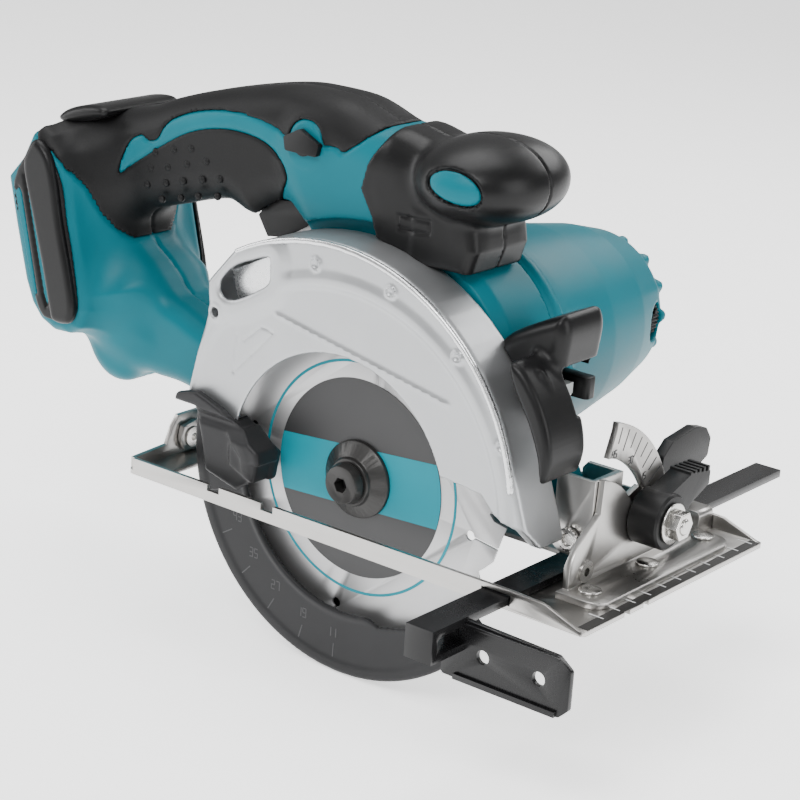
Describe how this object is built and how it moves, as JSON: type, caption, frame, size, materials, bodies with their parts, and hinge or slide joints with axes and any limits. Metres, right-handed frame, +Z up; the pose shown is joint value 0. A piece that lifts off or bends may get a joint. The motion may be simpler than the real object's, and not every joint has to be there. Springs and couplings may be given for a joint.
{
  "type": "circular saw",
  "caption": "Cordless trim saw: blade train, swinging lower guard, two-piece handle, motor barrel and a tilting, depth-adjustable base with edge guide",
  "frame": {"origin": "On the sole of the base plate, under the blade axis, midway across the plate", "axes": "+X is the cutting direction, +Y points to the motor side, +Z is up; the sole is Z = 0 and the blade reaches below it"},
  "size_m": [0.3095, 0.231, 0.216],
  "materials": {
    "teal_plastic": "satin moulded plastic, deep teal",
    "black_rubber": "soft black elastomer",
    "black_plastic": "fine textured black plastic",
    "cast_metal": "silver-grey die cast, satin",
    "sheet_steel": "bright zinc-plated pressed steel",
    "bare_steel": "machined steel",
    "blade_steel": "ground and polished disc",
    "dark_guard": "dark grey satin coating",
    "black_steel": "gloss black coating",
    "black_oxide": "black oxide",
    "copper_winding": "varnished copper",
    "lens_plastic": "clear moulded lens"
  },
  "bodies": {
    "shoe": {"base_plate": "sheet_steel", "front_bevel_bracket": "sheet_steel", "bracket_rivets": "bare_steel", "bevel_pivot_rivets": "bare_steel", "guide_clamp_block": "sheet_steel"},
    "carrier": {"front_carrier": "sheet_steel", "depth_guide": "sheet_steel", "depth_pivot_pin": "bare_steel", "bevel_bolt": "bare_steel", "bevel_washer": "bare_steel", "bevel_nut": "bare_steel"},
    "saw": {"upper_guard": "cast_metal", "nozzle_insert": "bare_steel", "gear_housing": "teal_plastic", "gear_cover": "cast_metal", "motor_housing": "teal_plastic", "motor_end_cover": "teal_plastic", "brush_caps": "black_plastic", "field_magnets": "black_oxide", "bearings": "bare_steel", "guard_ring": "bare_steel", "handle_half_right": "teal_plastic", "handle_half_left": "teal_plastic", "top_grip_cover": "black_rubber", "side_grips": "black_rubber", "front_grip_cover": "black_rubber", "front_grip_core": "teal_plastic", "grip_inlay": "teal_plastic", "mount_bumpers": "black_rubber", "battery_terminal": "black_plastic", "switch_body": "black_plastic", "front_cover": "black_plastic", "lamp_lens": "lens_plastic", "knurled_plug": "bare_steel", "housing_screws": "black_oxide", "guard_screws": "bare_steel", "depth_bolt": "bare_steel"},
    "blade_set": {"saw_blade": "blade_steel", "inner_flange": "black_oxide", "outer_flange": "black_oxide", "blade_bolt": "black_oxide", "spindle": "bare_steel", "spindle_gear": "bare_steel"},
    "counter_set": {"countershaft": "bare_steel", "small_gear": "bare_steel", "large_gear": "bare_steel"},
    "armature": {"armature_shaft": "bare_steel", "armature_core": "copper_winding", "commutator": "copper_winding", "cooling_fan": "black_plastic"},
    "lower_guard": {"lower_guard": "dark_guard"},
    "trigger": {"trigger": "black_plastic"},
    "lock_off": {"lock_off_button": "black_plastic"},
    "shaft_lock": {"shaft_lock": "black_plastic"},
    "depth_lever": {"depth_lock_lever": "black_plastic"},
    "guide": {"guide_rule": "black_steel"},
    "clamp_screw": {"guide_clamp_screw": "black_plastic"},
    "bevel_lever": {"bevel_lock_lever": "black_plastic"}
  },
  "joints": [
    {"name": "bevel_tilt", "type": "hinge", "parent": "shoe", "child": "carrier", "pos_m": [0, -0.028, 0.0085], "axis": [1, 0, 0], "range_deg": [0, 45]},
    {"name": "depth_adjust", "type": "hinge", "parent": "carrier", "child": "saw", "pos_m": [0.088, 0, 0.016], "axis": [0, 1, 0], "range_deg": [0, 27]},
    {"name": "blade_spin", "type": "hinge", "parent": "saw", "child": "blade_set", "pos_m": [0, -0.033, 0.017], "axis": [0, 1, 0], "continuous": true},
    {"name": "counter_spin", "type": "hinge", "parent": "saw", "child": "counter_set", "pos_m": [0.00557, 0, 0.03569], "axis": [0, 1, 0], "continuous": true},
    {"name": "armature_spin", "type": "hinge", "parent": "saw", "child": "armature", "pos_m": [0.01399, 0.04, 0.06396], "axis": [0, 1, 0], "continuous": true},
    {"name": "guard_swing", "type": "hinge", "parent": "saw", "child": "lower_guard", "pos_m": [0, -0.033, 0.017], "axis": [0, 1, 0], "range_deg": [0, 110], "stiffness_Nm_per_rad": 0.12, "springref_deg": -45.84},
    {"name": "trigger_squeeze", "type": "hinge", "parent": "saw", "child": "trigger", "pos_m": [-0.041, -0.013, 0.11], "axis": [0, 1, 0], "range_deg": [0, 9], "stiffness_Nm_per_rad": 0.6, "springref_deg": -5.73},
    {"name": "lock_off_push", "type": "slide", "parent": "saw", "child": "lock_off", "axis": [0, 1, 0], "range_m": [-0.0015, 0.0015], "stiffness_N_per_m": 800},
    {"name": "shaft_lock_push", "type": "slide", "parent": "saw", "child": "shaft_lock", "axis": [-1, 0, 0], "range_m": [0, 0.003], "stiffness_N_per_m": 800, "springref_m": -0.001},
    {"name": "depth_lever_turn", "type": "hinge", "parent": "saw", "child": "depth_lever", "pos_m": [-0.0769, 0.012, 0.02176], "axis": [0, 1, 0], "range_deg": [0, 60]},
    {"name": "bevel_lever_turn", "type": "hinge", "parent": "carrier", "child": "bevel_lever", "pos_m": [0.105, 0.00677, 0.02116], "axis": [1, 0, 0], "range_deg": [0, 60]},
    {"name": "guide_slide", "type": "slide", "parent": "shoe", "child": "guide", "axis": [0, 1, 0], "range_m": [-0.1, 0.02]},
    {"name": "clamp_screw_turn", "type": "hinge", "parent": "shoe", "child": "clamp_screw", "pos_m": [0.084, 0.053, 0.018], "axis": [0, 0, 1], "range_deg": [-30, 30]}
  ],
  "couplings": [
    {"joint": "counter_spin", "follows": "blade_spin", "ratio": -2},
    {"joint": "armature_spin", "follows": "blade_spin", "ratio": 5.8667}
  ]
}
